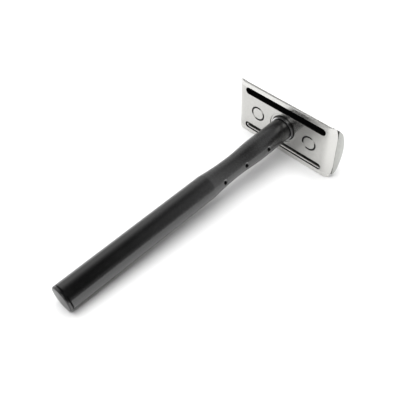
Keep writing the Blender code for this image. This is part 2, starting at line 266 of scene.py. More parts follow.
def piece(name, points, faces, material, body, replaced, normals=None):
    """One finished piece: points in millimetres in the upright frame, riding on a CAD body."""
    mesh = bpy.data.meshes.new(name)
    mesh.from_pydata([Vector(p) * MM for p in points], [], faces)
    mesh.validate()
    mesh.update()
    mesh.shade_smooth()
    obj = bpy.data.objects.new(name, mesh)
    bpy.context.scene.collection.objects.link(obj)
    if normals is None:
        mesh.set_sharp_from_angle(angle=SHARP_ANGLE)
        weighted = obj.modifiers.new("Weighted normals", "WEIGHTED_NORMAL")
        weighted.keep_sharp = True
    else:
        mesh.normals_split_custom_set(normals)
    mesh.materials.append(material)
    obj.matrix_world = LAY
    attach(obj, body)
    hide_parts(replaced)
    return obj


def filleted(corners, steps=5):
    """A turned outline of (radius, height, fillet) corners, with each corner rounded by its fillet."""
    line = []
    for number, (r, z, fillet) in enumerate(corners):
        here = Vector((r, z))
        if fillet <= 0.0 or number in (0, len(corners) - 1):
            line.append(tuple(here))
            continue
        back = Vector(corners[number - 1][:2]) - here
        ahead = Vector(corners[number + 1][:2]) - here
        half = back.angle(ahead) / 2.0
        run = min(fillet / math.tan(half), back.length * 0.49, ahead.length * 0.49)
        start = here + back.normalized() * run
        end = here + ahead.normalized() * run
        radius = run * math.tan(half)
        centre = here + (back.normalized() + ahead.normalized()).normalized() * radius / math.sin(half)
        first = math.atan2(start.y - centre.y, start.x - centre.x)
        sweep = math.atan2(end.y - centre.y, end.x - centre.x) - first
        sweep = (sweep + math.pi) % (2.0 * math.pi) - math.pi
        for step in range(steps + 1):
            angle = first + sweep * step / steps
            line.append((centre.x + radius * math.cos(angle), centre.y + radius * math.sin(angle)))
    return line


def turned(line, angles=128, shape=None):
    """Turns an outline of (radius, height) points round z; the outline runs anticlockwise in (r, z).

    shape(radius, angle, height) may give another radius.  Points on the axis become one vertex.
    """
    if isinstance(angles, int):
        angles = [2.0 * math.pi * step / angles for step in range(angles)]
    count = len(angles)
    points, rings, faces = [], [], []
    for r, z in line:
        if r <= 1e-6:
            rings.append([len(points)])
            points.append((0.0, 0.0, z))
            continue
        rings.append(list(range(len(points), len(points) + count)))
        for angle in angles:
            radius = shape(r, angle, z) if shape else r
            points.append((radius * math.cos(angle), radius * math.sin(angle), z))
    pairs = list(zip(rings, rings[1:]))
    if len(rings[0]) > 1:
        pairs.append((rings[-1], rings[0]))
    for low, high in pairs:
        for step in range(count):
            after = (step + 1) % count
            if len(low) == 1:
                faces.append((low[0], high[after], high[step]))
            elif len(high) == 1:
                faces.append((low[step], low[after], high[0]))
            else:
                faces.append((low[step], low[after], high[after], high[step]))
    return points, faces


def inside(loop, x, y):
    found = False
    for (x0, y0), (x1, y1) in zip(loop, loop[1:] + loop[:1]):
        if (y0 > y) != (y1 > y) and x < (x1 - x0) * (y - y0) / (y1 - y0) + x0:
            found = not found
    return found


def slope_normal(height, x, y, toward, sign):
    """The surface's normal at (x, y), taken just inside the face whose middle is toward."""
    reach = math.hypot(toward[0] - x, toward[1] - y)
    share = min(0.02 / max(reach, 1e-9), 0.25)
    px, py = x + (toward[0] - x) * share, y + (toward[1] - y) * share
    h = 0.0015
    dx = (height(px + h, py) - height(px - h, py)) / (2.0 * h)
    dy = (height(px, py + h) - height(px, py - h)) / (2.0 * h)
    return Vector((-dx, -dy, 1.0)).normalized() * sign


def sheet_solid(outline, holes, guides, bottom, top):
    """A closed solid between two height functions, over a plan outline with holes.

    guides are open or closed lines of the plan that the mesh follows, so that creases and rounded
    rims lie on its edges.  Gives points, faces and one exact normal per face corner.
    """
    loops = [outline] + holes
    plan, edges = [], []
    for loop in loops:
        start = len(plan)
        plan += loop
        edges += [(start + k, start + (k + 1) % len(loop)) for k in range(len(loop))]
    for line in guides:
        start = len(plan)
        plan += line
        edges += [(start + k, start + k + 1) for k in range(len(line) - 1)]
    found = delaunay_2d_cdt([Vector(p) for p in plan], edges, [], 0, 1e-4)
    flat = [(v.x, v.y) for v in found[0]]
    triangles = []
    for a, b, c in (tuple(face) for face in found[2] if len(face) == 3):
        mx = (flat[a][0] + flat[b][0] + flat[c][0]) / 3.0
        my = (flat[a][1] + flat[b][1] + flat[c][1]) / 3.0
        if inside(outline, mx, my) and not any(inside(hole, mx, my) for hole in holes):
            area = (flat[b][0] - flat[a][0]) * (flat[c][1] - flat[a][1])
            area -= (flat[c][0] - flat[a][0]) * (flat[b][1] - flat[a][1])
            if abs(area) > 1e-9:
                triangles.append(((a, b, c) if area > 0.0 else (a, c, b), (mx, my)))
    used = sorted({v for face, _ in triangles for v in face})
    place = {v: number for number, v in enumerate(used)}
    count = len(used)
    points = [(*flat[v], bottom(*flat[v])) for v in used]
    points += [(*flat[v], max(top(*flat[v]), bottom(*flat[v]) + 1e-3)) for v in used]
    faces, normals, sides = [], [], {}
    for (a, b, c), middle in triangles:
        faces.append((place[a], place[c], place[b]))
        normals += [slope_normal(bottom, *flat[v], middle, -1.0) for v in (a, c, b)]
        faces.append((place[a] + count, place[b] + count, place[c] + count))
        normals += [slope_normal(top, *flat[v], middle, 1.0) for v in (a, b, c)]
        for pair in ((a, b), (b, c), (c, a)):
            sides[pair] = True
    border = {a: b for a, b in sides if (b, a) not in sides}
    before = {b: a for a, b in border.items()}

    def outward(a, b):
        return Vector((flat[b][1] - flat[a][1], flat[a][0] - flat[b][0], 0.0)).normalized()

    for a, b in border.items():
        face_normal = outward(a, b)
        ends = []
        for near in (outward(before[a], a) if a in before else face_normal,
                     outward(b, border[b]) if b in border else face_normal):
            smooth = near.dot(face_normal) > math.cos(WALL_SMOOTH_ANGLE)
            ends.append((near + face_normal).normalized() if smooth else face_normal)
        faces.append((place[a], place[b], place[b] + count, place[a] + count))
        normals += [ends[0], ends[1], ends[1], ends[0]]
    return points, faces, normals


def lifted(points):
    return [(x, y, z + HEAD) for x, y, z in points]


# --- procedural finishes ------------------------------------------------------------------------

class Nodes:
    """Short names for building one material."""

    def __init__(self, name, color, metallic, roughness):
        self.material = bpy.data.materials.new(name)
        self.material.use_nodes = True
        self.tree = self.material.node_tree
        self.shader = self.tree.nodes["Principled BSDF"]
        self.shader.inputs["Base Color"].default_value = (*color, 1.0)
        self.shader.inputs["Metallic"].default_value = metallic
        self.shader.inputs["Roughness"].default_value = roughness
        self.place = self.tree.nodes.new("ShaderNodeTexCoord").outputs["Object"]

    def link(self, source, target):
        self.tree.links.new(source, target)

    def noise(self, scale, stretch=(1.0, 1.0, 1.0), detail=3.0, roughness=0.55):
        mapping = self.tree.nodes.new("ShaderNodeMapping")
        mapping.inputs["Scale"].default_value = stretch
        self.link(self.place, mapping.inputs["Vector"])
        node = self.tree.nodes.new("ShaderNodeTexNoise")
        node.inputs["Scale"].default_value = scale
        node.inputs["Detail"].default_value = detail
        node.inputs["Roughness"].default_value = roughness
        self.link(mapping.outputs["Vector"], node.inputs["Vector"])
        return node.outputs["Fac"]

    def ranged(self, source, low, high, start=0.3, end=0.7):
        node = self.tree.nodes.new("ShaderNodeMapRange")
        node.inputs["From Min"].default_value = start
        node.inputs["From Max"].default_value = end
        node.inputs["To Min"].default_value = low
        node.inputs["To Max"].default_value = high
        self.link(source, node.inputs["Value"])
        return node.outputs["Result"]

    def math(self, operation, first, second):
        node = self.tree.nodes.new("ShaderNodeMath")
        node.operation = operation
        for socket, value in zip(node.inputs, (first, second)):
            if isinstance(value, (int, float)):
                socket.default_value = value
            else:
                self.link(value, socket)
        return node.outputs["Value"]

    def absolute(self, value):
        return self.math("ABSOLUTE", value, 0.0)

    def squares(self, first, second):
        """The sum of two squares."""
        return self.math("ADD", self.math("MULTIPLY", first, first), self.math("MULTIPLY", second, second))

    def root(self, value):
        return self.math("SQRT", value, 0.0)

    def axes(self):
        node = self.tree.nodes.new("ShaderNodeSeparateXYZ")
        self.link(self.place, node.inputs["Vector"])
        return [node.outputs[axis] for axis in "XYZ"]

    def facing(self):
        """0 where the surface faces the eye, up to 1 at its outline."""
        node = self.tree.nodes.new("ShaderNodeLayerWeight")
        node.inputs["Blend"].default_value = 0.5
        return node.outputs["Facing"]

    def blend(self, share, first, second):
        node = self.tree.nodes.new("ShaderNodeMix")
        node.data_type = "RGBA"
        self.link(share, node.inputs["Factor"])
        for socket, value in (("A", first), ("B", second)):
            target = [s for s in node.inputs if s.name == socket and s.type == "RGBA"][0]
            if isinstance(value, tuple):
                target.default_value = (*value, 1.0)
            else:
                self.link(value, target)
        return [s for s in node.outputs if s.type == "RGBA"][0]

    def bump(self, height, distance):
        node = self.tree.nodes.new("ShaderNodeBump")
        node.inputs["Strength"].default_value = 1.0
        node.inputs["Distance"].default_value = distance
        self.link(height, node.inputs["Height"])
        if self.shader.inputs["Normal"].links:
            self.link(self.shader.inputs["Normal"].links[0].from_socket, node.inputs["Normal"])
        self.link(node.outputs["Normal"], self.shader.inputs["Normal"])


def about_post(n):
    """Offset along x from the nearer guide post, its square distance, and the distance off its joint."""
    x, y, _ = n.axes()
    across = n.math("SUBTRACT", n.absolute(x), POST_X * MM)
    square = n.squares(across, y)
    return across, square, n.absolute(n.math("SUBTRACT", n.root(square), JOINT_RADIUS * MM))


def joint_shade_mask(n):
    """Painted shade in the joint round a guide post, fainter for a short way on two sides."""
    x, y, _ = n.axes()
    across, square, off = about_post(n)
    near = n.ranged(off, 1.0, 0.0, JOINT_WIDTH * MM, 1.6 * JOINT_WIDTH * MM)
    left_right = n.math("MULTIPLY", across, n.math("SIGN", x, 0.0))
    turn = n.math("DIVIDE", n.math("MULTIPLY", left_right, y), square)
    return n.math("MULTIPLY", near, n.ranged(turn, 0.15, 1.0, -0.47, -0.32))


def bar_mask(n):
    """1 on the two guard bars."""
    _, y, _ = n.axes()
    return n.ranged(n.absolute(y), 0.0, 1.0, (SLOT_OUTER - 0.15) * MM, (SLOT_OUTER + 0.05) * MM)


def wear_and_highlight_mask(n):
    """Where skin keeps the plate bright, 1 on the guard bars; and a painted highlight, 0.8 on one rounded
    end.
    """
    x, _, _ = n.axes()
    return n.math("MAXIMUM", n.ranged(x, 0.0, 0.8, 18.6 * MM, 20.9 * MM), bar_mask(n))


def seat_shade_mask(n):
    """1 in the gap round the collar, where shade is painted."""
    x, y, _ = n.axes()
    radius = n.root(n.squares(x, y))
    return n.ranged(radius, 1.0, 0.0, (RING_RADIUS + 0.22) * MM, (RING_RADIUS + 0.34) * MM)


def land_mask(n):
    """1 on the bare metal land of the collar's face."""
    x, y, z = n.axes()
    radius = n.root(n.squares(x, y))
    off = n.absolute(n.math("SUBTRACT", radius, LAND_RADIUS * MM))
    near = n.ranged(off, 1.0, 0.0, 0.13 * MM, 0.17 * MM)
    low = n.ranged(z, 1.0, 0.0, (HANDLE_TOP + 0.25) * MM, (HANDLE_TOP + 0.3) * MM)
    return n.math("MULTIPLY", near, low)


def dimple_spot(n, shift, radius):
    """1 in a round spot on each drilled dimple, set off to one side of its middle."""
    x, y, z = n.axes()
    cos, sin = math.cos(DIMPLE_ANGLE), math.sin(DIMPLE_ANGLE)
    across = n.math("SUBTRACT", n.math("MULTIPLY", y, cos), n.math("MULTIPLY", x, sin))
    across = n.math("SUBTRACT", across, shift * MM)
    along = None
    for height in DIMPLE_HEIGHTS:
        offset = n.absolute(n.math("SUBTRACT", z, height * MM))
        along = n.math("MINIMUM", along, offset) if along else offset
    near = n.ranged(n.root(n.squares(across, along)), 1.0, 0.0, (radius - 0.2) * MM, radius * MM)
    return n.math("MULTIPLY", near, n.ranged(x, 0.0, 1.0, 0.0, 1.0 * MM))


def dimple_highlight(n):
    """1 on the upper side of each dimple's countersink, where a light highlight is painted."""
    return dimple_spot(n, -0.40, 0.85)


def handle_painted_shade(n):
    """1 on the lower side of each dimple's hole, and 0.8 in the end cap's seam: painted shade, black and
    without shine.
    """
    _, _, z = n.axes()
    seam = n.ranged(z, 0.8, 0.0, (HANDLE_BOTTOM + 0.14) * MM, (HANDLE_BOTTOM + 0.22) * MM)
    return n.math("MAXIMUM", dimple_spot(n, 0.42, 0.72), seam)


def cap_seam_shade(n):
    """0.8 in the seam between the end cap and the handle, where shade is painted; 0 below it."""
    _, _, z = n.axes()
    return n.ranged(z, 0.0, 0.8, (CAP_DISC_TOP - 0.22) * MM, (CAP_DISC_TOP - 0.14) * MM)


def rough_joint(n):
    """1 in a band round each guide post."""
    _, _, off = about_post(n)
    return n.ranged(off, 1.0, 0.0, 0.35 * MM, 0.5 * MM)


def face_mask(n):
    """1 on the machined face and chamfer of the end cap."""
    _, _, z = n.axes()
    return n.ranged(z, 1.0, 0.0, 0.28 * MM, 0.36 * MM)


def honed_highlight_mask(n):
    """1 on the blade's honed edges, which are polished and coloured near white as a painted highlight."""
    _, y, _ = n.axes()
    start = BLADE_EDGE - HONED_WIDTH
    return n.ranged(n.absolute(y), 0.0, 1.0, start * MM, (start + 0.03) * MM)


def slot_shade_mask(n):
    """1 on the walls inside the two long slots, where shade is painted dark."""
    x, y, z = n.axes()
    side, along = n.absolute(y), n.absolute(x)
    inside_x = n.ranged(along, 1.0, 0.0, (SLOT_HALF_LENGTH + 0.01) * MM, (SLOT_HALF_LENGTH + 0.05) * MM)
    above = n.ranged(side, 0.0, 1.0, (SLOT_INNER - 0.05) * MM, (SLOT_INNER - 0.01) * MM)
    below = n.ranged(side, 1.0, 0.0, (SLOT_OUTER + 0.01) * MM, (SLOT_OUTER + 0.05) * MM)
    deep = n.ranged(z, 0.0, 1.0, (HEAD + 0.01) * MM, (HEAD + 0.05) * MM)
    return n.math("MULTIPLY", n.math("MULTIPLY", inside_x, deep), n.math("MULTIPLY", above, below))


def satin_steel(name, color, roughness, grain=(0.06, 1.0, 1.0), grain_height=0.6, marks=(), rough=()):
    """Tumbled and lightly brushed stainless steel: soft mottling, hairlines along the long side."""
    n = Nodes(name, color, 1.0, roughness)
    mottle = n.noise(900.0, detail=4.0)
    hair = n.noise(9000.0, stretch=grain, detail=2.0)
    darker = tuple(value * 0.93 for value in color)
    lighter = tuple(min(value * 1.04, 1.0) for value in color)
    shade = n.blend(n.ranged(mottle, 0.0, 1.0), darker, lighter)
    # Each mark blends in another colour; painted shade and painted highlights are among them.
    for mask, mark in marks:
        shade = n.blend(mask(n), shade, mark)
    n.link(shade, n.shader.inputs["Base Color"])
    spread = n.math("ADD", n.ranged(mottle, -0.03, 0.03), n.ranged(hair, -0.03, 0.04))
    for mask, more in rough:
        spread = n.math("ADD", spread, n.math("MULTIPLY", mask(n), more))
    n.link(n.math("ADD", spread, roughness), n.shader.inputs["Roughness"])
    n.bump(hair, grain_height * 1e-6)
    n.bump(mottle, 1.5e-6)
    return n.material


def anodised(name, roughness, grain=1.0, bare=None, painted_shade=None, painted_highlight=None):
    """Bead-blasted aluminium under a black anodised layer, bare metal where a mask says so, with a painted
    highlight and painted shade (black, without shine) where other masks say so.
    """
    n = Nodes(name, BLACK, 0.0, roughness)
    n.shader.inputs["Specular IOR Level"].default_value = 1.0
    blast = n.noise(7000.0, detail=3.0, roughness=0.65)
    cloud = n.noise(160.0, detail=4.0)
    darker = tuple(value * 0.86 for value in BLACK)
    lighter = tuple(value * 1.16 for value in BLACK)
    shade = n.blend(n.ranged(cloud, 0.0, 1.0), darker, lighter)
    if bare:
        mask, metal = bare
        share = mask(n)
        shade = n.blend(share, shade, metal)
        n.link(share, n.shader.inputs["Metallic"])
        n.link(n.blend(share, WHITE, EDGE_TINT), n.shader.inputs["Specular Tint"])
    # Painted highlight
    if painted_highlight:
        shade = n.blend(painted_highlight(n), shade, DIMPLE_HIGHLIGHT)
    # Painted shade: black, and without shine
    if painted_shade:
        shade_share = painted_shade(n)
        shade = n.blend(shade_share, shade, BLACK)
        share = n.math("MAXIMUM", shade_share, n.ranged(n.facing(), 0.0, DULL_RIM_MOST, *DULL_RIM))
        n.link(n.math("SUBTRACT", 1.0, share), n.shader.inputs["Specular IOR Level"])
    n.link(shade, n.shader.inputs["Base Color"])
    spread = n.math("ADD", n.ranged(cloud, -0.03, 0.03), n.ranged(blast, -0.04, 0.04))
    _, _, z = n.axes()
    along = n.ranged(z, roughness - GRIP_POLISH, roughness, 0.0, GRIP_POLISH_END * MM)
    n.link(n.math("ADD", spread, along), n.shader.inputs["Roughness"])
    n.bump(blast, 4.0e-6 * grain)
    return n.material


def machined(name, color, roughness):
    """Turned metal: fine rings round the razor's long axis."""
    n = Nodes(name, color, 1.0, roughness)
    feed = n.noise(9000.0, stretch=(0.02, 0.02, 1.0), detail=2.0)
    cloud = n.noise(500.0, detail=3.0)
    darker = tuple(value * 0.88 for value in color)
    n.link(n.blend(n.ranged(cloud, 0.0, 1.0), darker, color), n.shader.inputs["Base Color"])
    n.link(n.math("ADD", n.ranged(feed, -0.04, 0.05), roughness), n.shader.inputs["Roughness"])
    n.bump(feed, 2.0e-6)
    return n.material


cap_steel = satin_steel("Cap_satin_steel", CAP_STEEL, 0.18)
# The plate's marks paint shade in the slots, the post joints and the collar's gap, and a highlight on one
# rounded end.
plate_steel = satin_steel("Plate_satin_steel", HEAD_STEEL, 0.22, marks=(
    (wear_and_highlight_mask, POLISH_AND_HIGHLIGHT), (slot_shade_mask, SLOT_SHADE), (joint_shade_mask, GAP_SHADE), (seat_shade_mask, GAP_SHADE)),
    rough=((bar_mask, BAR_ROUGH), (rough_joint, JOINT_ROUGH)))
# The posts' joints carry the same painted shade.
post_steel = satin_steel("Post_satin_steel", HEAD_STEEL, 0.17, marks=((joint_shade_mask, GAP_SHADE),),
                          rough=((rough_joint, JOINT_ROUGH),))
stud_steel = machined("Stud_steel", STUD_STEEL, 0.28)
# The blade: darkened steel as painted shade, honed edges near white as a painted highlight
blade_shade_and_highlight = satin_steel("Blade_steel", BLADE_SHADE_STEEL, 0.16, grain=(1.0, 0.05, 1.0),
                          marks=((honed_highlight_mask, HONED_HIGHLIGHT),))
insert_brass = machined("Insert_brass", BRASS, 0.30)
handle_black = anodised("Handle_black_anodised", 0.27, painted_shade=handle_painted_shade, painted_highlight=dimple_highlight)
ring_black = anodised("Ring_black_anodised", 0.24, grain=0.3, bare=(land_mask, BARE_METAL))
end_cap_black = anodised("End_cap_black_anodised", 0.27, grain=0.8,
                         bare=(face_mask, FACED_METAL), painted_shade=cap_seam_shade)


# --- handle -------------------------------------------------------------------------------------

def handle_radius(z):
    if z <= GRIP_TOP:
        return GRIP_RADIUS
    if z <= WAIST_HEIGHT:
        share = (z - GRIP_TOP) / (WAIST_HEIGHT - GRIP_TOP)
        return WAIST_RADIUS + (GRIP_RADIUS - WAIST_RADIUS) * (1.0 - share) ** TAPER_POWER
    return WAIST_RADIUS + (NECK_RADIUS - WAIST_RADIUS) * smoothstep(WAIST_HEIGHT, NECK_START, z)


def dimpled(radius, angle, z):
    """Takes the three drilled dimples out of the handle's surface."""
    if radius < WAIST_RADIUS - 0.1:
        return radius
    turn = (angle - DIMPLE_ANGLE + math.pi) % (2.0 * math.pi) - math.pi
    for height in DIMPLE_HEIGHTS:
        distance = math.hypot(turn * radius, z - height)
        if distance < DIMPLE_RADIUS:
            sink = DIMPLE_SINK * (1.0 - smoothstep(DIMPLE_HOLE * 0.6, DIMPLE_RADIUS, distance))
            hole = DIMPLE_DEPTH * (1.0 - smoothstep(DIMPLE_HOLE - 0.14, DIMPLE_HOLE, distance))
            return radius - sink - hole
    return radius


def build_handle():
    heights = [GRIP_TOP * k / 30.0 for k in range(1, 31)]
    taper_steps = 72
    heights += [GRIP_TOP + (NECK_START - GRIP_TOP) * k / taper_steps for k in range(1, taper_steps + 1)]
    heights += [NECK_START + (HANDLE_TOP - 1.3 - NECK_START) * k / 16.0 for k in range(1, 17)]
    fine, grid = DIMPLE_ROW_STEP, range(-DIMPLE_ROWS, DIMPLE_ROWS + 1)
    for middle in DIMPLE_HEIGHTS:
        heights = [z for z in heights if abs(z - middle) > (DIMPLE_ROWS + 0.5) * fine]
        heights += [middle + fine * k for k in grid]
    outer = [(handle_radius(z), z) for z in sorted(heights) if z > HANDLE_BOTTOM + 0.5]
    bore = SPIGOT_RADIUS + FIT
    socket = INSERT_RADIUS + FIT
    foot = filleted([(bore, SPIGOT_BORE, 0.0), (bore, HANDLE_BOTTOM, 0.1),
                     (GRIP_RADIUS, HANDLE_BOTTOM, 0.14), (GRIP_RADIUS, HANDLE_BOTTOM + 0.5, 0.0)])
    groove = HANDLE_TOP - GROOVE_WIDTH
    neck = filleted([(NECK_RADIUS, HANDLE_TOP - 1.2, 0.0), (NECK_RADIUS, groove, 0.12),
                     (GROOVE_RADIUS, groove, 0.06), (GROOVE_RADIUS, HANDLE_TOP, 0.06),
                     (socket, HANDLE_TOP, 0.1), (socket, INSERT_BORE, 0.0)])
    line = [(0.0, SPIGOT_BORE)] + foot + outer + neck + [(0.0, INSERT_BORE)]
    even, near = 112, DIMPLE_TURN_STEP
    angles = [2.0 * math.pi * k / even for k in range(even)]
    angles = [a for a in angles
              if abs((a - DIMPLE_ANGLE + math.pi) % (2.0 * math.pi) - math.pi) > (DIMPLE_ROWS + 1.0) * near]
    angles += [(DIMPLE_ANGLE + near * k) % (2.0 * math.pi) for k in grid]
    points, faces = turned(line, sorted(angles), dimpled)
    piece("Handle_body", points, faces, handle_black, "handle", "Handle")


def build_end_cap():
    shoulder = CAP_DISC_TOP + 0.15
    line = filleted([
        (0.0, 0.0, 0.0), (GRIP_RADIUS - 0.30, 0.0, 0.10), (GRIP_RADIUS, 0.34, 0.16),
        (GRIP_RADIUS, CAP_DISC_TOP, 0.12), (GRIP_RADIUS - 0.30, CAP_DISC_TOP, 0.08),
        (GRIP_RADIUS - 0.30, shoulder, 0.04), (SPIGOT_RADIUS, shoulder, 0.1),
        (SPIGOT_RADIUS, 9.0, 0.25), (0.0, 9.0, 0.0)])
    points, faces = turned(line)
    piece("End_cap", points, faces, end_cap_black, "handle", "Handle_end_cap")


def build_ring():
    bottom = HANDLE_TOP + FIT
    top = HANDLE_LENGTH + SEAT_DEPTH - FIT
    inner = INSERT_RADIUS + FIT
    line = filleted([
        (inner, bottom, 0.05), (RING_RADIUS - 0.22, bottom, 0.10), (RING_RADIUS, bottom + 0.22, 0.12),
        (RING_RADIUS, top, 0.10), (inner, top, 0.08), (inner, bottom + 0.3, 0.0)])
    points, faces = turned(line, 144)
    piece("Neck_collar", points, faces, ring_black, "handle", "Neck_ring")


def thread(radius_at):
    """A right-hand thread: radius_at gets the profile's height, from 0 at the root to 1 at the crest."""
    def shape(radius, angle, height):
        turn = (height / PITCH - angle / (2.0 * math.pi)) % 1.0
        ramp = 1.0 - abs(2.0 * turn - 1.0)
        return radius_at(radius, min(max((ramp - 0.12) / 0.70, 0.0), 1.0), height)
    return shape


def build_stud():
    low, high = HEAD - 9.5, HEAD + 0.2
    step = PITCH / 16.0
    rows = int((high - low) / step)

    def radius_at(radius, ridge, z):
        if radius < THREAD_CREST - 1e-6 or z > high - 0.05:
            return radius
        run_in = smoothstep(low, low + 0.9, z)
        run_out = 1.0 - smoothstep(high - 0.9, high, z)
        root = THREAD_CREST - THREAD_DEPTH
        tip = root + THREAD_DEPTH * (0.15 + 0.85 * run_in)
        depth = min(root + THREAD_DEPTH * ridge, tip)
        return depth + (THREAD_CREST - depth) * (1.0 - run_out) * run_in

    line = [(0.0, low), (THREAD_CREST - 0.45, low), (THREAD_CREST - 0.40, low + 0.02)]
    line += [(THREAD_CREST, low + 0.04 + step * k) for k in range(rows)]
    line += [(THREAD_CREST, high), (THREAD_CREST, HEAD + STUD_TOP - 0.1),
             (THREAD_CREST - 0.1, HEAD + STUD_TOP), (0.0, HEAD + STUD_TOP)]
    points, faces = turned(line, 72, thread(radius_at))
    piece("Stud", points, faces, stud_steel, "head_cap", "Threaded_stud")


def build_insert():
    bottom = INSERT_BORE + FIT
    top = HANDLE_LENGTH + SEAT_DEPTH - FIT
    bore = THREAD_CREST + FIT
    step = PITCH / 16.0

    def radius_at(radius, ridge, z):
        if radius > bore + 1e-6:
            return radius
        mouth = 1.0 - smoothstep(top - 0.9, top - 0.1, z)
        closed = bore - THREAD_DEPTH + THREAD_DEPTH * ridge
        return bore + (closed - bore) * mouth

    rows = int((top - 0.35 - bottom) / step)
    line = [(bore, top - 0.35 - step * k) for k in range(rows + 1)]
    line += [(bore, bottom)]
    line += filleted([(bore + 1e-4, bottom, 0.0), (INSERT_RADIUS, bottom, 0.15),
                      (INSERT_RADIUS, top, 0.12), (bore + 0.25, top, 0.05), (bore + 1e-4, top - 0.25, 0.0)])
    points, faces = turned(line, 72, thread(radius_at))
    piece("Insert", points, faces, insert_brass, "handle", "Threaded_insert")


# --- head ---------------------------------------------------------------------------------------

def blade_height(y):
    return BLADE_CREST - BLADE_SAG * y * y


def end_rise(x, radius):
    """Height of the quarter round under each end of the head."""
    run = min(max(abs(x) - END_CENTRE, 0.0), radius)
    return radius - math.sqrt(radius * radius - run * run)


def plate_bottom(x, y):
    """The base plate's outer face: rounded ends and rims, crowned guard bars, the collar's seat."""
    side = abs(y)
    end = end_rise(x, PLATE_ROUND)
    foot = rim(PLATE_HALF_WIDTH - side, BAR_FOOT) if side > BAR_FOOT_START else 0.0
    z = math.hypot(end, foot)
    if side > SLOT_OUTER:
        crown = BAR_CROWN * ((side - BAR_MIDDLE) / BAR_HALF) ** 2
        z += crown * (1.0 - smoothstep(CROWN_END, SLOT_HALF_LENGTH, abs(x)))
    z += rim(stadium_distance(x, side, SLOT_HALF_LENGTH, SLOT_INNER, SLOT_OUTER, 1.0), SLOT_RIM)
    z += rim(math.hypot(abs(x) - POST_X, y) - POST_HOLE, HOLE_RIM)
    r = math.hypot(x, y)
    if r < SEAT_RADIUS + SEAT_RIM:
        if r >= SEAT_RADIUS:
            z += rim(r - SEAT_RADIUS, SEAT_RIM)
        else:
            z += SEAT_DEPTH - (SEAT_DEPTH - SEAT_RIM) * smoothstep(SEAT_RADIUS - STEP, SEAT_RADIUS, r)
        z += rim(r - STUD_HOLE, SEAT_RIM)
    return z


def bar_top(side):
    """The guard bar's inner face: a slope, then a round crest."""
    if side < BAR_TANGENT:
        return BAR_HEIGHT + BAR_SLOPE * max(side - SLOT_OUTER, 0.0)
    reach = min(side - BAR_CENTRE[0], BAR_RADIUS)
    return BAR_CENTRE[1] + math.sqrt(max(BAR_RADIUS ** 2 - reach ** 2, 0.0))


def plate_top(x, y):
    """The base plate's inner face: the blade's bed, the guard bars and the shelves under the cap's ends."""
    side, along = abs(y), abs(x)
    bed = blade_height(side) - BLADE_HALF - FIT
    tab = bed - 0.15 * max(side - BLADE_TAB, 0.0)
    middle = bar_top(side) if side > SLOT_INNER + 1e-6 else bed
    tip = rim(PLATE_HALF_WIDTH - side, SHELF_TIP) if side > PLATE_HALF_WIDTH - SHELF_TIP else 0.0
    shelf = SEAM_HEIGHT - FIT - SHOULDER_FALL * max(0.0, side - SHOULDER_START) ** 2 - tip
    z = middle + (tab - tip - middle) * smoothstep(HONED_HALF_LENGTH, HONED_HALF_LENGTH + 0.5, along)
    z += (shelf - z) * smoothstep(*WALL_STEP, along)
    if side < SLOT_INNER + 0.2:
        z -= rim(SLOT_INNER - side, TOP_RIM) * (1.0 - smoothstep(18.0, 18.9, along))
    z -= rim(math.hypot(along - POST_X, y) - POST_HOLE, TOP_RIM)
    z -= rim(math.hypot(x, y) - STUD_HOLE, TOP_RIM)
    return z


def plan_outline(half_at, end_at, stations, corner_steps):
    """The head's plan: long sides at half_at(x), ends at end_at(y), anticlockwise."""
    corner_x = bisect(lambda x: x > end_at(half_at(x)), 15.0, 24.0)
    ys = [half_at(corner_x) * math.sin(math.pi / 2.0 * k / corner_steps) for k in range(corner_steps)]
    right = [(end_at(y), y) for y in ys]
    long_side = [(x, half_at(x)) for x in reversed([0.0] + [s for s in stations if s < corner_x - 0.05])]
    quarter = right + [(corner_x, half_at(corner_x))] + long_side
    upper = quarter + [(-x, y) for x, y in reversed(quarter[:-1])]
    return upper + [(x, -y) for x, y in reversed(upper[1:-1])]


def mirrored_lines(xs, ys, x_reach, y_reach):
    """Straight guide lines across the whole plan at +-x and +-y."""
    lines = []
    for x in sorted({s * v for v in xs for s in (-1.0, 1.0)}):
        lines.append([(x, -y_reach), (x, y_reach)])
    for y in sorted({s * v for v in ys for s in (-1.0, 1.0)}):
        lines.append([(-x_reach, y), (x_reach, y)])
    return lines


def rim_loops(loop_at, radius):
    """Closed guide loops round a hole, closer together towards its edge."""
    loops = []
    for share in (0.04, 0.16, 0.38, 0.68, 1.0):
        loop = loop_at(radius * share)
        loops.append(loop + loop[:1])
    return loops


def rounded_steps(start, reach, count=6):
    return [start + reach * math.sin(math.pi / 2.0 * k / count) for k in range(count + 1)]


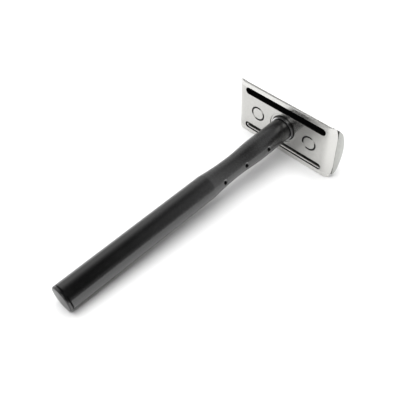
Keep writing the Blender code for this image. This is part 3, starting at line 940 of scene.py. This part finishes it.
def build_plate():
    def end_at(y):
        return bisect(lambda x: plate_bottom(x, y) > plate_top(x, y) - 0.03, 19.0,
                      END_CENTRE + PLATE_ROUND)

    stations = [2.0, 5.0, 8.0, 11.0, 14.0, 17.0, 18.9, 19.1, 19.3, 19.6, 20.2, 20.8, 21.3]
    outline = plan_outline(lambda x: PLATE_HALF_WIDTH, end_at, stations, 28)
    holes = [stadium(SLOT_HALF_LENGTH, SLOT_INNER, SLOT_OUTER, side) for side in (-1.0, 1.0)]
    holes += [circle(POST_HOLE, x) for x in (-POST_X, POST_X)]
    holes.append(circle(STUD_HOLE))
    guides = []
    for side in (-1.0, 1.0):
        guides += rim_loops(
            lambda grow, s=side: stadium(SLOT_HALF_LENGTH, SLOT_INNER, SLOT_OUTER, s, grow), SLOT_RIM)
        guides += rim_loops(lambda grow, s=side: circle(POST_HOLE + grow, s * POST_X), HOLE_RIM)
    guides += rim_loops(lambda grow: circle(STUD_HOLE + grow), SEAT_RIM)
    guides += rim_loops(lambda grow: circle(SEAT_RADIUS + grow, steps=128), SEAT_RIM)
    for radius in (SEAT_RADIUS, SEAT_RADIUS - STEP):
        loop = circle(radius, steps=128)
        guides.append(loop + loop[:1])
    xs = [18.9, 19.1, 19.25, 19.4, END_CENTRE]
    xs += [WALL_INNER - 0.15 + 0.1 * k / 6.0 for k in range(7)]
    xs += [END_CENTRE + PLATE_ROUND * math.sin(math.radians(a)) for a in range(4, 64, 4)]
    ys = [1.5, 3.0, 4.5, 6.0, 6.95, SLOT_INNER, 8.2, BLADE_TAB, 10.2, 10.35, 10.5, 10.65,
          10.8, 10.95, 11.1, 11.25, 11.4, BAR_TANGENT, 11.6]
    ys += rounded_steps(BAR_FOOT_START, BAR_FOOT)[:-1]
    guides += mirrored_lines(xs, ys, 24.0, 12.5)
    points, faces, normals = sheet_solid(outline, holes, guides, plate_bottom, plate_top)
    piece("Plate", lifted(points), faces, plate_steel, "base_plate", "Base_plate", normals)


def cap_half(x):
    """The cap's half width, which grows at the four ears."""
    return CAP_EDGE + (CAP_EAR - CAP_EDGE) * smoothstep(EAR_START, EAR_END, abs(x))


def dome(y):
    """Height of the cap's domed top."""
    return CAP_APEX - DOME_RADIUS + math.sqrt(DOME_RADIUS ** 2 - y * y)


def cap_bottom(x, y):
    along, side = abs(x), abs(y)
    if along > WALL_INNER:
        seam = max(SEAM_HEIGHT, end_rise(x, CAP_ROUND))
    else:
        seam = blade_height(y) + BLADE_HALF + FIT
    z = seam + rim(cap_half(x) - side, LIP_RIM)
    for hole, cx, roof in ((POST_HOLE, POST_X, POST_TOP), (THREAD_CREST + FIT, 0.0, STUD_TOP)):
        r = math.hypot(along - cx, y)
        if r < hole:
            z += (roof + FIT - z) * (1.0 - smoothstep(hole - STEP, hole, r))
    return z


def cap_top(x, y):
    end = cap_end(y) - abs(x)
    drop = math.hypot(rim(end, END_RIM), rim(cap_half(x) - abs(y), LIP_RIM))
    return dome(y) - drop


def cap_end(y):
    """Where the cap's quarter round meets its dome, or its upright end."""
    height = min(dome(y), CAP_ROUND)
    return END_CENTRE + math.sqrt(CAP_ROUND ** 2 - (CAP_ROUND - height) ** 2)


def build_cap():
    stations = [2.0, 5.0, 8.0, 11.0, 14.0, 17.0, EAR_START] + [EAR_START + 0.1 * k for k in range(1, 10)]
    stations += [EAR_END, 20.8, 21.4, WALL_INNER, 22.3, 22.8]
    outline = plan_outline(cap_half, cap_end, stations, 36)
    guides = mirrored_lines(
        [EAR_START, END_CENTRE, EAR_END, WALL_INNER, WALL_INNER + STEP]
        + [23.178, 23.35, 23.45, 23.55, 23.65, 23.72, 23.77],
        [0.6 * k for k in range(18)] + [10.04, 10.1, 10.15, 10.18], 24.5, 12.0)
    for x, radius in ((-POST_X, POST_HOLE), (POST_X, POST_HOLE), (0.0, THREAD_CREST + FIT)):
        for r in (radius, radius - STEP):
            loop = circle(r, x, steps=72)
            guides.append(loop + loop[:1])
    for inset in (0.01, 0.03, 0.07, END_RIM):
        line = [(cap_end(y) - inset, y) for y in [10.6 * k / 30.0 for k in range(-30, 31)]]
        guides += [line, [(-x, y) for x, y in line]]
    for inset in (0.02, 0.06, LIP_RIM):
        line = [(s, cap_half(s) - inset) for s in [23.0 * k / 92.0 for k in range(-92, 93)]]
        guides += [line, [(x, -y) for x, y in line]]
    points, faces, normals = sheet_solid(outline, [], guides, cap_bottom, cap_top)
    piece("Cap", lifted(points), faces, cap_steel, "head_cap", "Top_cap", normals)


def build_posts():
    line = filleted([
        (0.0, 0.02, 0.0), (POST_RADIUS - 0.20, 0.02, 0.05), (POST_RADIUS, 0.24, 0.10),
        (POST_RADIUS, POST_TOP, 0.12), (0.0, POST_TOP, 0.0)])
    for name, node, x in (("Post_left", "Guide_post_left", -POST_X),
                          ("Post_right", "Guide_post_right", POST_X)):
        points, faces = turned([(r, z + HEAD) for r, z in line], 96)
        points = [(px + x, py, pz) for px, py, pz in points]
        piece(name, points, faces, post_steel, "head_cap", node)


def build_blade():
    post, middle, half_slot, reach = POST_RADIUS + 0.1, 3.1, 1.1, 15.5

    def slot_half(x):
        y = half_slot
        if abs(x) > reach:
            y = math.sqrt(max(half_slot ** 2 - (abs(x) - reach) ** 2, 0.0))
        for cx, radius in ((-POST_X, post), (0.0, middle), (POST_X, post)):
            y = max(y, math.sqrt(max(radius ** 2 - (x - cx) ** 2, 0.0)))
        return y

    end = reach + half_slot
    xs = [end * math.sin(math.pi / 2.0 * k / 120.0) for k in range(-120, 121)]
    hole = [(x, slot_half(x)) for x in xs]
    hole += [(x, -y) for x, y in reversed(hole[1:-1])]
    notch = arc(HONED_HALF_LENGTH + 0.45, BLADE_TAB + 0.45, 0.45, 180.0, 270.0, 6)
    corner = [(BLADE_HALF_LENGTH, 0.0), (BLADE_HALF_LENGTH, BLADE_TAB - 0.6)]
    corner += arc(BLADE_HALF_LENGTH - 0.6, BLADE_TAB - 0.6, 0.6, 0.0, 90.0, 6)
    corner += list(reversed(notch)) + [(HONED_HALF_LENGTH, BLADE_EDGE), (0.0, BLADE_EDGE)]
    upper = corner + [(-x, y) for x, y in reversed(corner[:-1])]
    outline = upper + [(x, -y) for x, y in reversed(upper[1:-1])]

    def thickness(x, y):
        honed = smoothstep(BLADE_EDGE - HONED_WIDTH, BLADE_EDGE, abs(y))
        return BLADE_HALF - (BLADE_HALF - HONED_HALF) * honed

    guides = mirrored_lines([6.0, 17.5, 20.0], [0.7 * k for k in range(16)]
                            + [BLADE_EDGE - HONED_WIDTH, 10.6, 10.75], 22.0, 11.5)
    points, faces, normals = sheet_solid(
        outline, [hole], guides,
        lambda x, y: blade_height(y) - thickness(x, y), lambda x, y: blade_height(y) + thickness(x, y))
    piece("Razor_blade", lifted(points), faces, blade_shade_and_highlight, "blade", "Blade", normals)


build_handle()
build_end_cap()
build_ring()
build_insert()
build_plate()
build_cap()
build_stud()
build_posts()
build_blade()


# --- studio -------------------------------------------------------------------------------------

def build_world():
    """A light tent: pale all round, with a wide dark opening overhead and a brighter wall to the
    camera's right."""
    world = bpy.data.worlds.new("Tent")
    bpy.context.scene.world = world
    world.use_nodes = True
    tree = world.node_tree
    out = tree.nodes["World Output"]
    back = tree.nodes["Background"]
    way = tree.nodes.new("ShaderNodeTexCoord").outputs["Generated"]

    def spot(direction, inner, outer):
        """1 within the inner angle of a direction, 0 beyond the outer angle."""
        dot = tree.nodes.new("ShaderNodeVectorMath")
        dot.operation = "DOT_PRODUCT"
        tree.links.new(way, dot.inputs[0])
        dot.inputs[1].default_value = Vector(direction).normalized()
        ramp = tree.nodes.new("ShaderNodeMapRange")
        ramp.interpolation_type = "SMOOTHSTEP"
        ramp.inputs["From Min"].default_value = math.cos(math.radians(outer))
        ramp.inputs["From Max"].default_value = math.cos(math.radians(inner))
        tree.links.new(dot.outputs["Value"], ramp.inputs["Value"])
        return ramp.outputs["Result"]

    def scaled(source, low, high):
        ramp = tree.nodes.new("ShaderNodeMapRange")
        ramp.inputs["To Min"].default_value = low
        ramp.inputs["To Max"].default_value = high
        tree.links.new(source, ramp.inputs["Value"])
        return ramp.outputs["Result"]

    strength = scaled(spot(DARK_PLACE, *DARK_ANGLES), WALL_RADIANCE, DARK_RADIANCE)
    both = tree.nodes.new("ShaderNodeMath")
    tree.links.new(strength, both.inputs[0])
    tree.links.new(scaled(spot(BACK_PLACE, *BACK_ANGLES), 0.0, BACK_RADIANCE), both.inputs[1])
    tree.links.new(both.outputs["Value"], back.inputs["Strength"])
    back.inputs["Color"].default_value = (*WHITE, 1.0)
    tree.links.new(back.outputs["Background"], out.inputs["Surface"])


def build_floor():
    half = FLOOR_HALF
    mesh = bpy.data.meshes.new("Floor")
    mesh.from_pydata([(-half, -half, 0.0), (half, -half, 0.0), (half, half, 0.0), (-half, half, 0.0)],
                     [], [(0, 1, 2, 3)])
    floor = bpy.data.objects.new("Floor", mesh)
    bpy.context.scene.collection.objects.link(floor)
    paper = bpy.data.materials.new("White_paper")
    paper.use_nodes = True
    shader = paper.node_tree.nodes["Principled BSDF"]
    shader.inputs["Base Color"].default_value = (*PAPER, 1.0)
    shader.inputs["Roughness"].default_value = 1.0
    shader.inputs["Specular IOR Level"].default_value = 0.0
    mesh.materials.append(paper)


def build_lamp(name, way, reach, radiance):
    """A round lamp, 1 m from the razor in the given direction, that the camera doesn't see."""
    data = bpy.data.lights.new(name, "AREA")
    data.shape = "DISK"
    data.size = 2.0 * reach
    data.energy = radiance * math.pi * math.pi * reach ** 2
    lamp = bpy.data.objects.new(name, data)
    place = Vector(way).normalized()
    lamp.matrix_world = Matrix.Translation(place) @ place.to_track_quat("Z", "Y").to_matrix().to_4x4()
    lamp.visible_camera = False
    bpy.context.scene.collection.objects.link(lamp)
    return lamp


def build_lamps():
    """A broad softbox overhead, and a small lamp high in front for the sparkle on rims and neck."""
    key = build_lamp("Key", KEY_WAY, KEY_REACH, KEY_RADIANCE)
    key.visible_glossy = False
    front = build_lamp("Front", FRONT_WAY, FRONT_REACH, FRONT_RADIANCE)
    front.visible_diffuse = False


def build_camera():
    """A 50 mm lens about 0.2 m from the head, where a perspective fit to the photograph puts it."""
    data = bpy.data.cameras.new("Camera")
    data.lens = 50.0
    data.sensor_width = 36.0
    data.clip_start = 0.01
    data.clip_end = 20.0
    camera = bpy.data.objects.new("Camera", data)
    forward = Vector(CAMERA_FORWARD).normalized()
    right = Vector(CAMERA_RIGHT)
    right = (right - forward * right.dot(forward)).normalized()
    turn = Matrix((right, right.cross(forward), -forward)).transposed().to_4x4()
    camera.matrix_world = Matrix.Translation(CAMERA_PLACE) @ turn
    bpy.context.scene.collection.objects.link(camera)
    bpy.context.scene.camera = camera


build_world()
build_floor()
build_lamps()
build_camera()
bpy.context.scene.view_settings.view_transform = "Standard"
